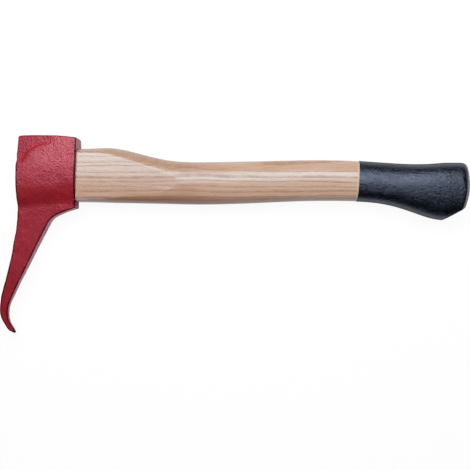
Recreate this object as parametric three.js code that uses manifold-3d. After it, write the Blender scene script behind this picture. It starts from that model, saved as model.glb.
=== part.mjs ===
// Pickaroon: a forged hook on a short hickory handle, lying on its side.
// Millimetres, +Z up. +X runs along the handle to its foot, and +Y to the top of the head.
// The origin is on the surface that the tool lies on, under the middle of the eye.

import * as THREE from 'three';
import { mergeVertices } from 'three/addons/utils/BufferGeometryUtils.js';
import Module from 'manifold-3d';

const wasm = await Module();
wasm.setup();

// Sizes shared by several pieces
const overallLength = 400; // outer face of the head to the end of the coated foot
const fitGap = 0.3; // clearance wherever two pieces meet
const overrun = 3; // how far a cut runs past what it cuts

// Eye of the head
const eyeHeight = 45.6; // along Y, at the handle's side
const eyeWidth = 21; // across the cheeks, at the handle's side
const eyeFlare = 0.8; // what each side of the eye gains towards the outer face
const eyeRoundShare = 1.14; // half width of the oval that rounds the eye's ends, to its half width
const mouthChamfer = 0.7;

// Collar and poll of the head
const cheekWall = 5;
const pollWall = 12.2; // above the eye, in the middle of the poll
const faceWall = 9.7; // above the eye, on the handle's side
const lugWall = 5.7; // below the eye, on the handle's side
const outerFace = 26.2; // middle of the eye to the outer face
const handleFace = 26; // middle of the eye to the face that meets the handle
const handleFaceSlope = 0.025; // how far that face leans, to its height
const faceBulge = 2.5; // how far the outer face falls back at the top of the poll
const faceBulgeDrop = 3; // the outer face's furthest point lies this far below the eye's middle
const pollThickness = 28.4;
const pollCrown = 0.7; // how much the poll's top is arched along the handle
const cheekFlatRise = 8; // the cheeks are flat from here
const cheekFlatDrop = 4; // down to here, below the eye's middle
const creaseSlope = 0.077; // the crease under the collar rises this much to the handle's side
const creaseRound = 2.6;
const reliefDepth = 0.6; // outer top corner of each cheek, hammered back round the eye
const reliefRun = 17;
const reliefRise = 20.5;
const reliefLift = 8;
const reliefEdge = 3;

// Pick of the head
const waistReach = 25.6; // outer edge at the crease, from the eye's middle
const waistDrop = 23.7;
const pickReach = 42.6; // furthest point of the bend
const pickDrop = 139.6; // point of the pick, below the eye's middle
const pickRootThickness = 17.5;

// Rounded edges of the head
const outerRound = 2.4;
const faceRound = 1;
const cheekTopRound = 1.6;
const throatRound = 1.5;

// Handle
const shoulderLedge = 0.7; // what the handle stands proud of its tenon
const shoulderRamp = 3.5;
const swellGain = 0.4; // the handle swells by this much past its shoulder
const blankWidth = 33.8; // the oval blank, before its sides are planed flat
const neckRise = 11.35;
const neckDrop = 25.8;
const neckWidth = 22.4;
const gripRise = 12.9;
const gripDrop = 22.6;
const gripWidth = 25;
const hollowRise = 9.7; // back of the handle, just before the foot
const footRise = 11.2;
const footDrop = 39.2;
const footWidth = 30.1;
const footDomeBulge = 14.3; // the foot ends in half an egg shape: its half axis along the handle
const footDomeHeight = 45; // its half axes along Y and across
const footDomeWidth = 30;
const footDomeRise = 1; // furthest point of the foot, above the eye's middle
const footDomeLeast = 0.1; // share of the egg's square below which its side is not followed
const footEdgeRound = 5;
const heelCutLength = 24.7; // the slanted cut at the foot's lower corner
const heelCutHeight = 13.6;
const heelBlend = 1.5;
const tenonRecess = 0.6; // tenon's end, behind the outer face

// Grip coating
const coatLength = 99.3; // end of the wood back to the edge of the coating, on the eye's level
const coatSlope = 0.067; // how far that edge leans, to its height
const coatThickness = 0.9;
const coatProud = 0.35; // how far the coating stands out of the bare wood

// Wedges
const kerfDepth = 35;
const kerfMouth = 5;
const kerfEnd = 1.4;
const wedgeSeat = 1.5; // what the wooden wedge stops short of the kerf's bottom
const ringRadius = 8;
const ringLength = 11;
const ringWall = 2.4;
const ringTipWall = 0.7;
const ringTaper = 0.9;
const ringSunk = 0.2;

// Rings, steps and points of the surfaces
const acrossSteps = 12;
const cornerSteps = 4;
const collarSteps = 4;
const pickSteps = 2;
const roundSteps = 8;
const flatSteps = 4;
const bareRings = 30;
const coatRings = 11;
const edgeSteps = 4;
const ringSides = 48;

// Sizes worked out from those above
const cheekThickness = eyeWidth + 2 * cheekWall;
const middle = cheekThickness / 2; // height of the tool's middle plane above its rest
const pollRise = eyeHeight / 2 + pollWall;
const faceRise = eyeHeight / 2 + faceWall;
const lugDrop = eyeHeight / 2 + lugWall;
const handleReach = overallLength - outerFace - coatProud; // eye's middle to the end of the wood
const tenonEnd = -outerFace + tenonRecess;
const shoulderRise = eyeHeight / 2 + shoulderLedge;
const swellRise = shoulderRise + swellGain;
const flatHalf = eyeWidth / 2 + shoulderLedge;
const coatRebate = coatThickness + fitGap - coatProud;

const { lerp, clamp, smoothstep } = THREE.MathUtils;

// Sheets of points joined into one closed solid: each ring has as many points as the next,
// and both end rings are filled in.
function loft(rings) {
  const count = rings[0].length;
  const points = rings.flat();
  const faces = [];
  for (let row = 0; row < rings.length - 1; row += 1) {
    for (let i = 0; i < count; i += 1) {
      const a = row * count + i;
      const b = row * count + ((i + 1) % count);
      faces.push(a, b, b + count, a, b + count, a + count);
    }
  }
  const lastRow = (rings.length - 1) * count;
  points.push(meanPoint(rings[0]), meanPoint(rings[rings.length - 1]));
  for (let i = 0; i < count; i += 1) {
    const next = (i + 1) % count;
    faces.push(points.length - 2, next, i);
    faces.push(points.length - 1, lastRow + i, lastRow + next);
  }
  const geometry = new THREE.BufferGeometry().setFromPoints(points);
  geometry.setIndex(faces);
  return geometry;
}

function meanPoint(ring) {
  const sum = new THREE.Vector3();
  ring.forEach((point) => sum.add(point));
  return sum.divideScalar(ring.length);
}

// Joining and cutting
function solidOf(geometry) {
  const bare = geometry.clone();
  bare.deleteAttribute('normal');
  bare.deleteAttribute('uv');
  const merged = mergeVertices(bare);
  const vertProperties = new Float32Array(merged.attributes.position.array);
  const triVerts = new Uint32Array(merged.index.array);
  return new wasm.Manifold(new wasm.Mesh({ numProp: 3, vertProperties, triVerts }));
}

function geometryOf(solid) {
  const mesh = solid.getMesh();
  const geometry = new THREE.BufferGeometry();
  geometry.setAttribute('position', new THREE.BufferAttribute(mesh.vertProperties, mesh.numProp));
  geometry.setIndex(new THREE.BufferAttribute(mesh.triVerts, 1));
  return geometry;
}

function piece(name, geometry, color, roughness, metalness) {
  const material = new THREE.MeshStandardMaterial({ color, roughness, metalness });
  geometry.computeVertexNormals();
  const mesh = new THREE.Mesh(geometry, material);
  mesh.name = name;
  mesh.position.z = middle;
  return mesh;
}

// Oval section with flat sides, shared by the eye and the handle: its points as (y, z) pairs.
// The oval is halfHeight by halfRound, and its sides are planed off at halfWidth.
const narrowestFlatAngle = THREE.MathUtils.degToRad(72);

function flatOval(halfHeight, halfRound, halfWidth) {
  const edgeAngle = Math.min(Math.asin(Math.min(1, halfWidth / halfRound)), narrowestFlatAngle);
  const quarter = [];
  for (let i = 0; i <= roundSteps; i += 1) {
    const angle = (edgeAngle * i) / roundSteps;
    quarter.push([halfHeight * Math.cos(angle), Math.min(halfRound * Math.sin(angle), halfWidth)]);
  }
  const flatStart = quarter[roundSteps][0];
  for (let i = 1; i < flatSteps / 2; i += 1) {
    const y = flatStart * (1 - (2 * i) / flatSteps);
    const onOval = halfRound * Math.sqrt(1 - (y / halfHeight) ** 2);
    quarter.push([y, Math.min(onOval, halfWidth)]);
  }
  const side = [0, Math.min(halfRound, halfWidth)];
  const mirrored = quarter.slice().reverse().map(([y, z]) => [-y, z]);
  const half = [...quarter, side, ...mirrored];
  const otherHalf = half.slice(1, -1).reverse().map(([y, z]) => [y, -z]);
  return [...half, ...otherHalf];
}

// Head

// Outer face of the collar, and the face on the handle's side
const outerFaceAt = (y) => -outerFace + faceBulge * ((y + faceBulgeDrop) / pollRise) ** 2;
const handleFaceAt = (y) => handleFace + handleFaceSlope * y;

// Outer edge of the collar from its top, as shares of the height of the poll and of the waist
const pollShares = [0.62, 0.25];
const underEyeShares = [0.25, 0.7];
// Stations down the pick: outer edge, inner edge and half thickness,
// as shares of pickReach and pickDrop, again of both, and of half the root's thickness
const pickShares = [
  [0.607, 0.25, -0.135, 0.264, 1],
  [0.632, 0.32, 0.045, 0.352, 0.985],
  [0.687, 0.42, 0.228, 0.46, 0.94],
  [0.757, 0.53, 0.405, 0.57, 0.84],
  [0.846, 0.64, 0.58, 0.67, 0.73],
  [0.938, 0.74, 0.717, 0.76, 0.62],
  [0.984, 0.81, 0.8, 0.82, 0.54],
  [1, 0.853, 0.823, 0.863, 0.45],
  [0.972, 0.897, 0.822, 0.888, 0.38],
  [0.911, 0.938, 0.793, 0.928, 0.29],
  [0.83, 0.979, 0.738, 0.956, 0.19],
  [0.71, 1, 0.666, 0.995, 0.09],
];
const lugOuterShare = 0.98; // outer edge on the level of the lug's corner, to the outer face
const largestRoundShare = 0.8; // of the local half thickness
const largestCornerShare = 0.3; // of the local width
const outerFacePoint = (y) => new THREE.Vector3(outerFaceAt(y), y, 0);

function headRails() {
  const top = pollRise - outerRound;
  const collar = [
    outerFacePoint(top),
    ...pollShares.map((share) => outerFacePoint(pollRise * share)),
    ...underEyeShares.map((share) => outerFacePoint(-waistDrop * share)),
    new THREE.Vector3(-waistReach, -waistDrop, 0),
    new THREE.Vector3(-outerFace * lugOuterShare, -lugDrop, 0),
  ];
  const lugCorner = new THREE.Vector3(handleFaceAt(-lugDrop), -lugDrop, 0);
  const faceTop = new THREE.Vector3(handleFaceAt(faceRise), faceRise - faceRound, 0);
  const outerPick = pickShares.map((row) => new THREE.Vector3(-pickReach * row[0], -pickDrop * row[1], 0));
  const innerPick = pickShares.map((row) => new THREE.Vector3(-pickReach * row[2], -pickDrop * row[3], 0));
  const outer = new THREE.CatmullRomCurve3([...collar, ...outerPick], false, 'centripetal');
  const inner = new THREE.CatmullRomCurve3([lugCorner, ...innerPick], false, 'centripetal');
  const knots = collar.length + outerPick.length - 1;
  const lugKnot = collar.length - 1;
  const stations = [];
  for (let step = 0; step < lugKnot * collarSteps; step += 1) {
    const point = outer.getPoint(step / collarSteps / knots);
    const down = (top - point.y) / (top + lugDrop);
    stations.push({ outer: point, inner: faceTop.clone().lerp(lugCorner, down), thin: 1 });
  }
  for (let step = 0; step <= innerPick.length * pickSteps; step += 1) {
    const place = step / pickSteps;
    const row = Math.floor(place);
    const from = row === 0 ? 1 : pickShares[row - 1][4];
    const to = row === 0 ? 1 : pickShares[Math.min(row, pickShares.length - 1)][4];
    stations.push({
      outer: outer.getPoint((lugKnot + place) / knots),
      inner: inner.getPoint(place / innerPick.length),
      thin: lerp(from, to, place - row),
    });
  }
  return stations;
}

// Half thickness of the collar at a point of its side view: a drafted poll, flat cheeks,
// and below them the round underside of the eye's tube
function collarHalf(x, y) {
  const level = y - creaseSlope * x;
  const half = cheekThickness / 2;
  if (level < -cheekFlatDrop) {
    const under = (-cheekFlatDrop - level) / (lugDrop - cheekFlatDrop);
    return half * Math.sqrt(Math.max(0, 1 - under ** 2));
  }
  if (level < cheekFlatRise) {
    return half;
  }
  const draft = (level - cheekFlatRise) / (pollRise - cheekFlatRise);
  const round = Math.hypot(Math.min(x, 0) / reliefRun, Math.max(y - reliefLift, 0) / reliefRise);
  const relief = reliefDepth * smoothstep(round, 1, 1 + reliefEdge / reliefRun) * clamp(draft * 2, 0, 1);
  return lerp(half, pollThickness / 2, draft) - relief;
}

function softLarger(a, b, blend) {
  const near = Math.max(blend - Math.abs(a - b), 0) / blend;
  return Math.max(a, b) + (near * near * blend) / 4;
}

function halfThickness(x, y, thin) {
  return softLarger(collarHalf(x, y), (pickRootThickness / 2) * thin, creaseRound * thin);
}

// One ring round the head, from the outer edge along the lower side to the inner edge and back
function headRing(station, before, after, shrink) {
  const { outer, inner, thin } = station;
  const crown = pollCrown * smoothstep(outer.y, cheekFlatRise, pollRise);
  const across = inner.clone().sub(outer);
  const width = across.length();
  across.normalize();
  const lean = (from, to) => Math.abs(to.clone().sub(from).normalize().cross(across).z);
  const pickPart = clamp((-outer.y - waistDrop) / waistDrop, 0, 1);
  const edges = [
    [outerRound, lean(before.outer, after.outer)],
    [lerp(faceRound, throatRound, pickPart), lean(before.inner, after.inner)],
  ];
  const corners = edges.map(([round, slant]) => {
    const least = halfThickness(outer.x, outer.y, thin) * largestRoundShare;
    const radius = Math.min(round, least);
    return { radius, run: Math.min(radius / slant, width * largestCornerShare) };
  });
  const heightAt = (run) => {
    const point = outer.clone().addScaledVector(across, run);
    return halfThickness(point.x, point.y, thin) - shrink;
  };
  const side = [];
  const corner = ({ radius, run }, angle, fromOuter) => {
    const inward = run * (1 - Math.cos(angle));
    const place = fromOuter ? inward : width - inward;
    side.push([place, heightAt(place) - radius * (1 - Math.sin(angle))]);
  };
  for (let i = 0; i <= cornerSteps; i += 1) {
    corner(corners[0], (Math.PI / 2) * (i / cornerSteps), true);
  }
  for (let i = 1; i < acrossSteps; i += 1) {
    const place = lerp(corners[0].run, width - corners[1].run, i / acrossSteps);
    side.push([place, heightAt(place)]);
  }
  for (let i = cornerSteps; i >= 0; i -= 1) {
    corner(corners[1], (Math.PI / 2) * (i / cornerSteps), false);
  }
  const at = ([place, z], sign) => {
    const point = outer.clone().addScaledVector(across, place);
    return point.set(point.x, point.y + crown * Math.sin((Math.PI * place) / width), sign * z);
  };
  const lower = side.map((spot) => at(spot, -1));
  const upper = side.reverse().map((spot) => at(spot, 1));
  return [...lower, ...upper];
}

// Rounded top of the poll: rings drawn in and lifted along a quarter circle
function pollTop(first, second) {
  const rings = [];
  for (let i = 0; i < edgeSteps; i += 1) {
    const angle = (Math.PI / 2) * (i / edgeSteps);
    const lift = Math.cos(angle);
    const inset = 1 - Math.sin(angle);
    const outer = first.outer.clone().add(new THREE.Vector3(outerRound * inset, outerRound * lift, 0));
    const inner = first.inner.clone().add(new THREE.Vector3(-faceRound * inset, faceRound * lift, 0));
    rings.push(headRing({ outer, inner, thin: 1 }, first, second, cheekTopRound * inset));
  }
  return rings;
}

function eyeSolid(inset, xFrom, mouth) {
  const flareSlope = eyeFlare / (outerFace + handleFace);
  const ring = (xAt, grow) => {
    const halfHeight = eyeHeight / 2 - inset + grow;
    const halfWidth = eyeWidth / 2 - inset + grow;
    return flatOval(halfHeight, halfWidth * eyeRoundShare, halfWidth).map(([y, z]) => {
      const x = xAt(y);
      return new THREE.Vector3(x, y, z);
    });
  };
  const start = ring((y) => xFrom(y), eyeFlare + flareSlope * (-outerFace - xFrom(0)));
  const end = ring((y) => handleFaceAt(y) - mouth, 0);
  return [start, end];
}

function makeHead() {
  const stations = headRails();
  const rings = stations.map((station, i) => {
    const before = stations[Math.max(i - 1, 0)];
    const after = stations[Math.min(i + 1, stations.length - 1)];
    return headRing(station, before, after, 0);
  });
  const body = solidOf(loft([...pollTop(stations[0], stations[1]), ...rings]));
  const bore = eyeSolid(0, () => -outerFace - overrun, mouthChamfer);
  const past = overrun + mouthChamfer;
  const mouthGrow = 1 + (past / (eyeHeight / 2));
  const mouth = bore[1].map((point) => new THREE.Vector3(point.x + past, point.y * mouthGrow, point.z));
  const widen = 1 + (past / (eyeWidth / 2));
  mouth.forEach((point) => point.setZ(point.z * widen));
  return geometryOf(body.subtract(solidOf(loft([...bore, mouth]))));
}

// Handle

// Edges of the handle in its side view and its width, as keys of a share of handleReach,
// the size there, and how late the sweep from the key before starts
const topEdgeShares = [
  [0.082, shoulderRise, 1],
  [0.138, swellRise, 1],
  [0.316, neckRise, 1],
  [0.67, gripRise, 1],
  [0.883, hollowRise, 1],
  [0.962, footRise, 1],
];
const bottomEdgeShares = [
  [0.082, shoulderRise, 1],
  [0.153, swellRise, 1],
  [0.348, neckDrop, 1],
  [0.656, gripDrop, 1],
  [0.937, footDrop, 1.9],
];
const widthShares = [
  [0.12, blankWidth / 2, 1],
  [0.316, neckWidth / 2, 1],
  [0.67, gripWidth / 2, 1],
  [0.763, gripWidth / 2, 1],
  [0.936, footWidth / 2, 1],
];

function sizeAlong(keys, x) {
  const share = x / handleReach;
  let index = 1;
  while (index < keys.length - 1 && share > keys[index][0]) {
    index += 1;
  }
  const [fromShare, fromSize] = keys[index - 1];
  const [toShare, toSize, late] = keys[index];
  const part = clamp((share - fromShare) / (toShare - fromShare), 0, 1);
  return lerp(fromSize, toSize, smoothstep(part ** late, 0, 1));
}

// Points of the handle's section at x, with its surface moved in by inset
function handleSection(x, inset) {
  const rise = sizeAlong(topEdgeShares, x);
  const drop = sizeAlong(bottomEdgeShares, x);
  const halfWidth = sizeAlong(widthShares, x) - inset;
  const centre = (rise - drop) / 2;
  const oval = flatOval((rise + drop) / 2 - inset, halfWidth, flatLimit(x) - inset);
  return oval.map(([y, z]) => [y + centre, z]);
}

// The flats are planed on the bare part only, so past the neck their limit moves away
const flatsEndShare = 0.45;
const flatLimit = (x) => (x < handleReach * flatsEndShare ? flatHalf : blankWidth);

// End of the foot, with its surface moved in by inset: a dome with a slanted cut at its lower corner
const heelCutRun = heelCutLength / heelCutHeight;

function footDomeAt(y, z, inset) {
  const up = (y - footDomeRise) / footDomeHeight;
  const across = z / footDomeWidth;
  const left = Math.sqrt(Math.max(footDomeLeast, 1 - up ** 2 - across ** 2));
  const slope = (footDomeBulge / left) * Math.hypot(up / footDomeHeight, across / footDomeWidth);
  return handleReach - footDomeBulge * (1 - left) - inset * Math.hypot(slope, 1);
}

function footEndAt(y, z, inset) {
  const setBack = inset * Math.hypot(heelCutRun, 1);
  const cut = handleReach - heelCutLength + (y + footDrop) * heelCutRun - setBack;
  return -softLarger(-footDomeAt(y, z, inset), -cut, heelBlend);
}

// Where each line along the handle meets the foot's end, found by stepping back and forth
const rimSearchSteps = 24;

function footRim(inset) {
  const count = handleSection(handleReach, inset).length;
  const rim = [];
  for (let i = 0; i < count; i += 1) {
    let x = handleReach;
    for (let step = 0; step < rimSearchSteps; step += 1) {
      const [y, z] = handleSection(x, inset)[i];
      x = lerp(x, footEndAt(y, z, inset), 0.5);
    }
    const [y, z] = handleSection(x, inset)[i];
    rim.push(new THREE.Vector3(x, y, z));
  }
  return rim;
}

// The ridge between the dome and the slanted cut, at the middle plane
function heelRidge(inset) {
  let y = 0;
  for (let step = 0; step < rimSearchSteps; step += 1) {
    const along = footDomeAt(y, 0, inset) - handleReach + heelCutLength;
    y = along / heelCutRun - footDrop;
  }
  return new THREE.Vector3(footDomeAt(y, 0, inset), y, 0);
}

// Rings from the coating's edge over the foot, closing on the middle of that ridge
const capShares = [0.75, 0.5, 0.25, 0.04];

function footRings(inset, edgeGap, round) {
  const rim = footRim(inset);
  const centre = heelRidge(inset);
  const bodyPoint = (i, x) => {
    const [y, z] = handleSection(x, inset)[i];
    return new THREE.Vector3(x, y, z);
  };
  const capPoint = (i, share) => {
    const point = rim[i].clone().sub(centre).multiplyScalar(share).add(centre);
    return point.setX(footEndAt(point.y, point.z, inset));
  };
  const rings = [];
  for (let ring = 0; ring <= coatRings; ring += 1) {
    rings.push(rim.map((edge, i) => {
      const start = coatEdgeAt(handleSection(handleReach - coatLength, inset)[i][0]) + edgeGap;
      return bodyPoint(i, lerp(start, edge.x - round, ring / coatRings));
    }));
  }
  for (let step = 1; step <= edgeSteps; step += 1) {
    rings.push(rim.map((edge, i) => {
      const inward = 1 - round / Math.hypot(edge.y - centre.y, edge.z);
      const from = bodyPoint(i, edge.x - round);
      return new THREE.QuadraticBezierCurve3(from, edge, capPoint(i, inward)).getPoint(step / edgeSteps);
    }));
  }
  capShares.forEach((share) => rings.push(rim.map((edge, i) => capPoint(i, share))));
  return rings;
}

const coatEdgeAt = (y) => handleReach - coatLength + coatSlope * y;
const shoulderShare = 0.4; // size of the shoulder's step, between the tenon and the handle

function makeHandle() {
  const tenon = eyeSolid(fitGap, () => tenonEnd, -fitGap);
  const crowned = tenon[0].map((point) => point.clone().setX(outerFaceAt(point.y) + tenonRecess));
  const shoulderSection = handleSection(handleFace, 0);
  const step = tenon[1].map((point, i) => {
    const [y, z] = shoulderSection[i];
    const x = handleFaceAt(point.y) + fitGap;
    return new THREE.Vector3(x, lerp(point.y, y, shoulderShare), lerp(point.z, z, shoulderShare));
  });
  const bare = [];
  for (let ring = 0; ring <= bareRings; ring += 1) {
    bare.push(shoulderSection.map(([shoulderY], i) => {
      const from = handleFaceAt(shoulderY) + fitGap + shoulderRamp;
      const to = coatEdgeAt(handleSection(handleReach - coatLength, 0)[i][0]) - fitGap;
      const x = lerp(from, to, ring / bareRings);
      const [y, z] = handleSection(x, 0)[i];
      return new THREE.Vector3(x, y, z);
    }));
  }
  const covered = footRings(coatRebate, -fitGap, footEdgeRound);
  const body = solidOf(loft([crowned, tenon[1], step, ...bare, ...covered]));
  return body.subtract(kerfSolid(0)).subtract(ringSolid(fitGap));
}

// Dipped skin over the grip and the foot, open at its edge
function makeCoating() {
  const inner = footRings(coatRebate - fitGap, 0, footEdgeRound - coatThickness);
  const outer = footRings(-coatProud, 0, footEdgeRound);
  return loft([...inner.reverse(), ...outer]);
}

// Wedges

// Tapered slot sawn in the tenon along the eye's height, or the wedge that fills it
function kerfSolid(inset) {
  const depth = kerfDepth - (inset > 0 ? wedgeSeat : 0);
  const halfHeight = eyeHeight / 2 + overrun;
  const ring = (x) => {
    const part = (x - tenonEnd) / kerfDepth;
    const half = lerp(kerfMouth, kerfEnd, part) / 2 - inset;
    const corners = [[1, -1], [1, 1], [-1, 1], [-1, -1]];
    return corners.map(([up, out]) => new THREE.Vector3(x, up * halfHeight, out * half));
  };
  return solidOf(loft([ring(tenonEnd - overrun), ring(tenonEnd + depth)]));
}

function makeWoodenWedge() {
  const [start, end] = eyeSolid(fitGap, () => tenonEnd, -fitGap);
  const crowned = start.map((point) => point.clone().setX(outerFaceAt(point.y) + tenonRecess));
  const tenon = solidOf(loft([crowned, end]));
  return tenon.intersect(kerfSolid(fitGap)).subtract(ringSolid(fitGap));
}

// Hollow steel cone driven across the tenon's end, or the groove that it makes
function ringSolid(grow) {
  const reach = grow > 0 ? overrun : 0;
  const profile = [
    [ringRadius + grow, -reach],
    [ringRadius + grow, 0],
    [ringRadius - ringTaper + grow, ringLength + grow],
    [ringRadius - ringTaper - ringTipWall - grow, ringLength + grow],
    [ringRadius - ringWall - grow, 0],
    [ringRadius - ringWall - grow, -reach],
  ];
  const outline = grow > 0 ? profile : profile.slice(1, -1);
  const points = outline.map(([radius, depth]) => new THREE.Vector2(radius, depth));
  const geometry = new THREE.LatheGeometry([...points, points[0]], ringSides);
  geometry.rotateZ(-Math.PI / 2).translate(tenonEnd + ringSunk, 0, 0);
  return solidOf(geometry);
}

const pickaroon = new THREE.Group();
pickaroon.add(
  piece('head', makeHead(), 0xa43b48, 0.5, 0),
  piece('handle', geometryOf(makeHandle()), 0xd2b298, 0.6, 0),
  piece('wooden_wedge', geometryOf(makeWoodenWedge()), 0xc39a70, 0.65, 0),
  piece('ring_wedge', geometryOf(ringSolid(0)), 0x9b9ea2, 0.4, 1),
  piece('grip_coating', makeCoating(), 0x1b1d24, 0.7, 0),
);

export default pickaroon;
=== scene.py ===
# %% [markdown]
# # A hand pickaroon
# A pickaroon is a forester's hook: it is struck into the end of a log, and the log is dragged or turned by it.
# This one has a forged head in red paint, a short hickory handle with planed sides, and a black dipped grip.
# The first cell loads the imported model as a fixed frame. The frame is in metres: X runs along the handle, Y to
# the top of the head, Z up.

# %% Load the frame
import functools
import math

import bmesh
import bpy
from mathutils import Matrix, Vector


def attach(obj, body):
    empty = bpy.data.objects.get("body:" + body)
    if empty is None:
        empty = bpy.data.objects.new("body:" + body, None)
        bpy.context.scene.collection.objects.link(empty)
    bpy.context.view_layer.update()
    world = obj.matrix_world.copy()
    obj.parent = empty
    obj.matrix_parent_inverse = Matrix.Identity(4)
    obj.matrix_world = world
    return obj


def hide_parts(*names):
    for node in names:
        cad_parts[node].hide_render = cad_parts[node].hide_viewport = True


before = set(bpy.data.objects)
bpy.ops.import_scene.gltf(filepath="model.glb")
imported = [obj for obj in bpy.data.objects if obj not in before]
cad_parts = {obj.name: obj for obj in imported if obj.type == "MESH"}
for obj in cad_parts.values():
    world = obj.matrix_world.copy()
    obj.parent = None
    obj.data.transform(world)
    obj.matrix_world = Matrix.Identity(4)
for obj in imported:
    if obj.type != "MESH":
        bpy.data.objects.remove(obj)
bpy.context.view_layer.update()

MM = 0.001
MIDDLE = 15.5  # height of the tool's middle plane, in mm: half the head's thickness

# %% [markdown]
# ## Camera
# A catalogue picture like this one is taken from straight above, with the tool lying flat on a white table.
# The lens is a little long, so that the head and the foot, at the two ends, are seen only slightly from inside.
# A camera that isn't turned looks down along Z in Blender, with Y at the top of the picture, which is what is
# needed here. Its place was found from the sides of the head that show, such as the face next to the handle.

# %% The camera looks straight down
CAMERA_PLACE = (0.1652, -0.0527, 0.7875)
FOCAL_LENGTH, SENSOR_WIDTH = 66.74, 36.0
lens = bpy.data.cameras.new("overhead_camera")
lens.lens = FOCAL_LENGTH
lens.sensor_width = SENSOR_WIDTH
camera = bpy.data.objects.new("overhead_camera", lens)
camera.location = CAMERA_PLACE
bpy.context.scene.collection.objects.link(camera)
bpy.context.scene.camera = camera
print("camera at", CAMERA_PLACE, "lens", lens.lens)

# %% [markdown]
# ## Helpers for modelling by hand
# Operators act on whatever is selected, so each step starts by selecting nothing or everything, and then picks
# points, edges or faces by where they are. Sizes are written in millimetres, as on a workshop drawing, and `mm`
# turns them into the metres of the scene. A weight says how much a modifier moves each point, and `ramp` lets a
# weight rise softly from nothing to full.

# %% Selecting and editing
CLOSE = 0.02  # points this near to a place, in mm, count as lying there


def mm(x, y, z=MIDDLE):
    return Vector((x * MM, y * MM, z * MM))


def object_mode():
    if bpy.context.mode != "OBJECT":
        bpy.ops.object.mode_set(mode="OBJECT")
    bpy.ops.object.select_all(action="DESELECT")


def take(piece):
    object_mode()
    bpy.context.view_layer.objects.active = piece
    piece.select_set(True)


def edit(piece, kind="VERT"):
    take(piece)
    bpy.ops.object.mode_set(mode="EDIT")
    bpy.ops.mesh.select_mode(type=kind)
    bpy.ops.mesh.select_all(action="DESELECT")


def edit_all(piece):
    edit(piece)
    bpy.ops.mesh.select_all(action="SELECT")


def edit_sharp(piece, sharp_above):
    edit(piece, "EDGE")
    bpy.ops.mesh.edges_select_sharp(sharpness=math.radians(sharp_above))


def select_points(piece, test):
    shape = bmesh.from_edit_mesh(piece.data)
    for point in shape.verts:
        point.select = test(point.co / MM)
    shape.select_flush_mode()
    bmesh.update_edit_mesh(piece.data)
    return sum(point.select for point in shape.verts)


def near(x, y):
    return lambda point: abs(point.x - x) < CLOSE and abs(point.y - y) < CLOSE


# %% Modifiers, and finishing a piece
def modify(piece, kind, **settings):
    take(piece)
    step = piece.modifiers.new(kind.lower(), kind)
    for name, value in settings.items():
        setattr(step, name, value)
    bpy.ops.object.modifier_apply(modifier=step.name)


def cut_with(piece, tool, how="DIFFERENCE"):
    modify(piece, "BOOLEAN", object=tool, operation=how, solver="EXACT")


def slice_off(piece, place, facing, fill=True):
    edit_all(piece)
    bpy.ops.mesh.bisect(plane_co=place, plane_no=facing, clear_outer=True, use_fill=fill)
    object_mode()


def round_faces(piece, sharp_above, levels):
    edit_sharp(piece, sharp_above)
    bpy.ops.transform.edge_crease(value=1)
    modify(piece, "SUBSURF", levels=levels, render_levels=levels)


def even_skin(piece, size):
    modify(piece, "REMESH", mode="VOXEL", voxel_size=size * MM)


def soften(piece, rounds, group=""):
    modify(piece, "SMOOTH", factor=0.5, iterations=rounds, vertex_group=group)


def push(piece, group, distance, direction="NORMAL"):
    modify(piece, "DISPLACE", vertex_group=group, direction=direction, strength=distance * MM, mid_level=0)


def bevel_edges(piece, width, sharp_above):
    limit = math.radians(sharp_above)
    modify(piece, "BEVEL", width=width * MM, segments=2, limit_method="ANGLE", angle_limit=limit)


def named(name):
    piece = bpy.context.object
    piece.name = name
    piece.data.name = name
    return piece


def throw_away(*tools):
    object_mode()
    for tool in tools:
        bpy.data.objects.remove(tool)


def finish_piece(piece, node, smooth_below=35):
    take(piece)
    bpy.ops.object.shade_smooth_by_angle(angle=math.radians(smooth_below))
    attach(piece, "root")
    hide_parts(node)
    low = [min(v.co[i] for v in piece.data.vertices) for i in range(3)]
    high = [max(v.co[i] for v in piece.data.vertices) for i in range(3)]
    print(piece.name, "faces", len(piece.data.polygons),
          "from", [round(v / MM, 1) for v in low], "to", [round(v / MM, 1) for v in high])


# %% Weights
def ramp(value, low, high):
    share = min(max((value - low) / (high - low), 0), 1)
    return share * share * (3 - 2 * share)


def weigh_points(piece, name, weight):
    group = piece.vertex_groups.new(name=name)
    for point in piece.data.vertices:
        value = weight(point.co / MM, point.normal)
        if value > 0:
            group.add([point.index], value, "REPLACE")
    return name


# %% [markdown]
# ## The head
# The head is one forging. A smith draws the pick out of the block a little at a time, and the model is made in
# the same order: a flat plate is laid where the top of the poll is, and it is extruded down through the collar,
# the lug and the pick. Each row below is one such station, from the outer edge to the edge on the handle's side.
# Six points go round each station, and the two in the middle let the top of the poll be arched.
# The rows lie a little outside the real edge where it bends, because a subdivided edge cuts its corners.

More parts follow.
